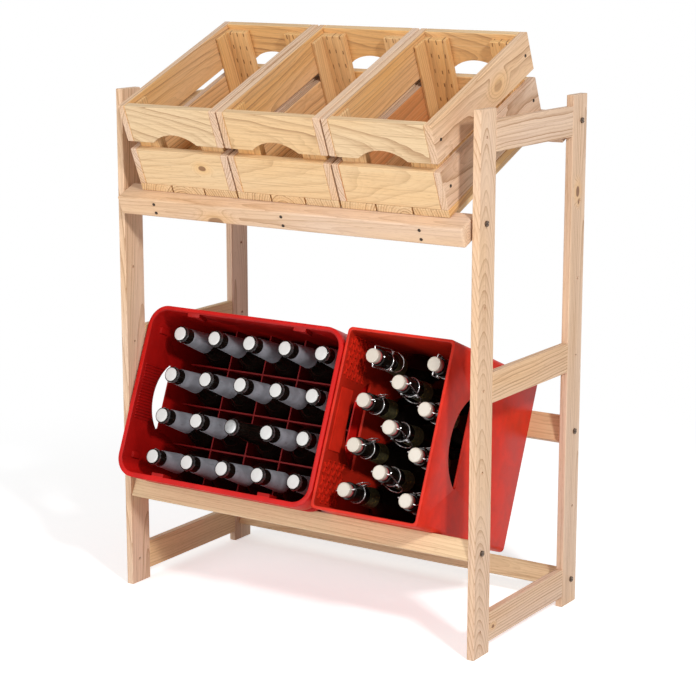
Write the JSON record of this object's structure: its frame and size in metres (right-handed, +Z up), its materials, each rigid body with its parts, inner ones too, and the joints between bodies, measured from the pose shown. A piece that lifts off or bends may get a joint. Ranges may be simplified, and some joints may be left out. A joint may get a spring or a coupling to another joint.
{
  "type": "crate display rack",
  "caption": "Pine rack with drilled posts and two tilted shelves that show open wooden crates above and full bottle crates below.",
  "frame": {"origin": "middle of the footprint's bounding box, on the floor", "axes": "+Z up, -Y towards the front, where the crates face, +X to the right as seen from the front"},
  "size_m": [0.704, 0.4107, 0.9669],
  "materials": {
    "pine": "planed, oiled",
    "crate_pine": "planed",
    "batten_pine": "planed",
    "dowel_wood": "turned",
    "screw_steel": "zinc plated",
    "nail_steel": "dull",
    "wire_steel": "drawn wire",
    "large_crate_red": "moulded",
    "small_crate_red": "moulded",
    "grid_red": "moulded",
    "dark_glass": "dark, polished",
    "cap_white": "lacquered",
    "sleeve_silver": "satin",
    "stopper_white": "glazed"
  },
  "bodies": {
    "rack": {"front_left_post": "pine", "front_right_post": "pine", "rear_left_post": "pine", "rear_right_post": "pine", "left_top_rail": "pine", "left_middle_rail": "pine", "left_bottom_rail": "pine", "right_top_rail": "pine", "right_middle_rail": "pine", "right_bottom_rail": "pine", "shelf_front_bar": "pine", "shelf_rear_bar": "pine", "shelf_left_bearer": "pine", "shelf_middle_bearer": "pine", "shelf_right_bearer": "pine", "lower_front_bar": "pine", "lower_rear_bar": "pine", "lean_bar": "pine", "rail_dowels": "dowel_wood", "post_screws": "screw_steel", "shelf_nails": "nail_steel"},
    "left_crate": {"left_crate_side_boards": "crate_pine", "left_crate_end_boards": "crate_pine", "left_crate_floor_planks": "crate_pine", "left_crate_corner_battens": "batten_pine", "left_crate_nails": "nail_steel"},
    "middle_crate": {"middle_crate_side_boards": "crate_pine", "middle_crate_end_boards": "crate_pine", "middle_crate_floor_planks": "crate_pine", "middle_crate_corner_battens": "batten_pine", "middle_crate_nails": "nail_steel"},
    "right_crate": {"right_crate_side_boards": "crate_pine", "right_crate_end_boards": "crate_pine", "right_crate_floor_planks": "crate_pine", "right_crate_corner_battens": "batten_pine", "right_crate_nails": "nail_steel"},
    "large_crate": {"large_crate_shell": "large_crate_red", "large_crate_grid": "grid_red"},
    "large_bottles": {"large_crate_bottles": "dark_glass", "large_crate_caps": "cap_white", "large_crate_sleeves": "sleeve_silver"},
    "small_crate": {"small_crate_shell": "small_crate_red", "small_crate_pegs": "grid_red"},
    "small_bottles": {"small_crate_bottles": "dark_glass", "small_crate_collars": "wire_steel"},
    "swing_top_01": {"swing_top_01": "stopper_white"},
    "swing_top_02": {"swing_top_02": "stopper_white"},
    "swing_top_03": {"swing_top_03": "stopper_white"},
    "swing_top_04": {"swing_top_04": "stopper_white"},
    "swing_top_05": {"swing_top_05": "stopper_white"},
    "swing_top_06": {"swing_top_06": "stopper_white"},
    "swing_top_07": {"swing_top_07": "stopper_white"},
    "swing_top_08": {"swing_top_08": "stopper_white"},
    "swing_top_09": {"swing_top_09": "stopper_white"},
    "swing_top_10": {"swing_top_10": "stopper_white"},
    "swing_top_11": {"swing_top_11": "stopper_white"}
  },
  "joints": [
    {"name": "left_crate_lift", "type": "slide", "parent": "rack", "child": "left_crate", "axis": [0, -0.3846, 0.9231], "range_m": [0, 0.2]},
    {"name": "middle_crate_lift", "type": "slide", "parent": "rack", "child": "middle_crate", "axis": [0, -0.3846, 0.9231], "range_m": [0, 0.2]},
    {"name": "right_crate_lift", "type": "slide", "parent": "rack", "child": "right_crate", "axis": [0, -0.3846, 0.9231], "range_m": [0, 0.2]},
    {"name": "large_crate_draw", "type": "slide", "parent": "rack", "child": "large_crate", "axis": [0, -0.9231, 0.3846], "range_m": [0, 0.33]},
    {"name": "small_crate_draw", "type": "slide", "parent": "rack", "child": "small_crate", "axis": [0, -0.9231, 0.3846], "range_m": [0, 0.33]},
    {"name": "large_bottles_draw", "type": "slide", "parent": "large_crate", "child": "large_bottles", "axis": [0, -0.9231, 0.3846], "range_m": [0, 0.29]},
    {"name": "small_bottles_draw", "type": "slide", "parent": "small_crate", "child": "small_bottles", "axis": [0, -0.9231, 0.3846], "range_m": [0, 0.29]},
    {"name": "swing_top_01_open", "type": "hinge", "parent": "small_bottles", "child": "swing_top_01", "pos_m": [0.11051, -0.11485, 0.24084], "axis": [-0.9781, -0.08, -0.1919], "range_deg": [0, 90]},
    {"name": "swing_top_02_open", "type": "hinge", "parent": "small_bottles", "child": "swing_top_02", "pos_m": [0.11051, -0.08639, 0.30915], "axis": [-0.9781, -0.08, -0.1919], "range_deg": [0, 90]},
    {"name": "swing_top_03_open", "type": "hinge", "parent": "small_bottles", "child": "swing_top_03", "pos_m": [0.11051, -0.05792, 0.37746], "axis": [-0.9781, -0.08, -0.1919], "range_deg": [0, 90]},
    {"name": "swing_top_04_open", "type": "hinge", "parent": "small_bottles", "child": "swing_top_04", "pos_m": [0.12495, -0.03358, 0.4359], "axis": [-0.0872, 0.3832, 0.9196], "range_deg": [0, 90]},
    {"name": "swing_top_05_open", "type": "hinge", "parent": "small_bottles", "child": "swing_top_05", "pos_m": [0.171, -0.10975, 0.25309], "axis": [1, 0, 0], "range_deg": [0, 90]},
    {"name": "swing_top_06_open", "type": "hinge", "parent": "small_bottles", "child": "swing_top_06", "pos_m": [0.171, -0.08128, 0.32139], "axis": [1, 0, 0], "range_deg": [0, 90]},
    {"name": "swing_top_07_open", "type": "hinge", "parent": "small_bottles", "child": "swing_top_07", "pos_m": [0.171, -0.05282, 0.3897], "axis": [1, 0, 0], "range_deg": [0, 90]},
    {"name": "swing_top_08_open", "type": "hinge", "parent": "small_bottles", "child": "swing_top_08", "pos_m": [0.2315, -0.11485, 0.24084], "axis": [-0.9781, 0.08, 0.1919], "range_deg": [0, 90]},
    {"name": "swing_top_09_open", "type": "hinge", "parent": "small_bottles", "child": "swing_top_09", "pos_m": [0.2315, -0.08639, 0.30915], "axis": [-0.9781, 0.08, 0.1919], "range_deg": [0, 90]},
    {"name": "swing_top_10_open", "type": "hinge", "parent": "small_bottles", "child": "swing_top_10", "pos_m": [0.2315, -0.05792, 0.37746], "axis": [-0.9781, 0.08, 0.1919], "range_deg": [0, 90]},
    {"name": "swing_top_11_open", "type": "hinge", "parent": "small_bottles", "child": "swing_top_11", "pos_m": [0.21705, -0.03358, 0.4359], "axis": [-0.0872, -0.3832, -0.9196], "range_deg": [0, 90]}
  ]
}
